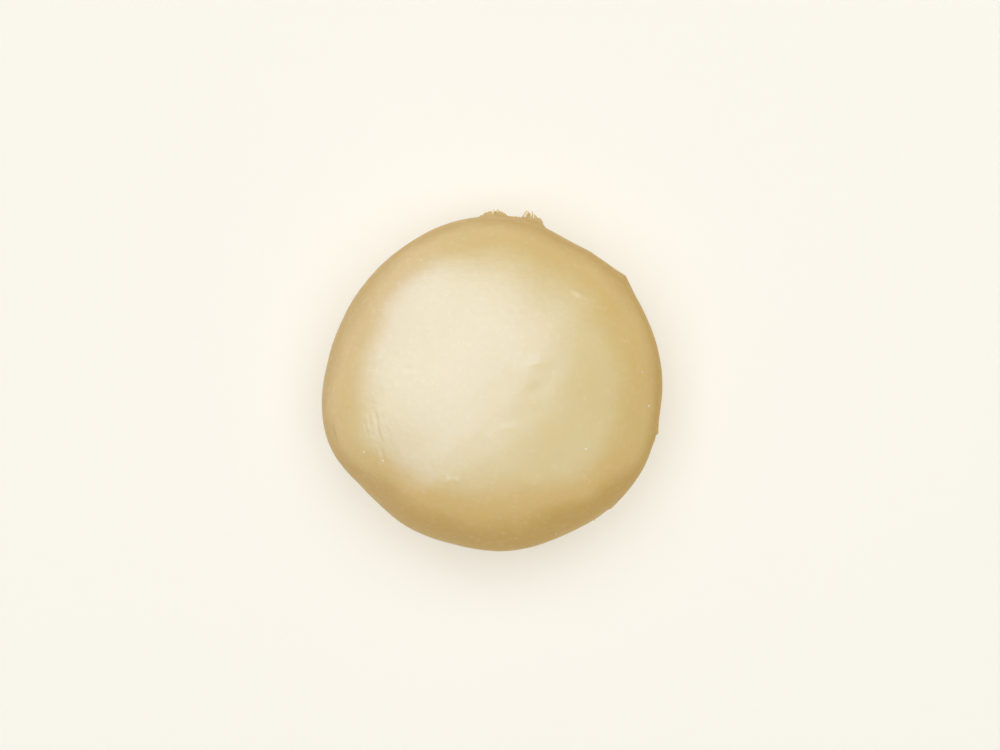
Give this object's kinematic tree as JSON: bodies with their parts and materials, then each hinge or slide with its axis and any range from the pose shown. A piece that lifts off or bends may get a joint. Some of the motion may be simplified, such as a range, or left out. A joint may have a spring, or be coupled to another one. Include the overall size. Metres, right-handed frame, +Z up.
{
  "type": "ball of white bread dough",
  "caption": "Smooth round of raw white bread dough, domed on top, with a small torn lip low on the back and its skin gathered underneath.",
  "frame": {"origin": "on the surface it rests on, below the middle of the outline seen from above", "axes": "+Z up through the dome; +Y towards the torn lip at the back; +X to the right of the picture"},
  "size_m": [0.1412, 0.1404, 0.0831],
  "materials": {
    "dough": "soft, slightly translucent pale cream wheat dough with a dull satin skin"
  },
  "bodies": {
    "root": {"dough": "dough"}
  },
  "joints": []
}
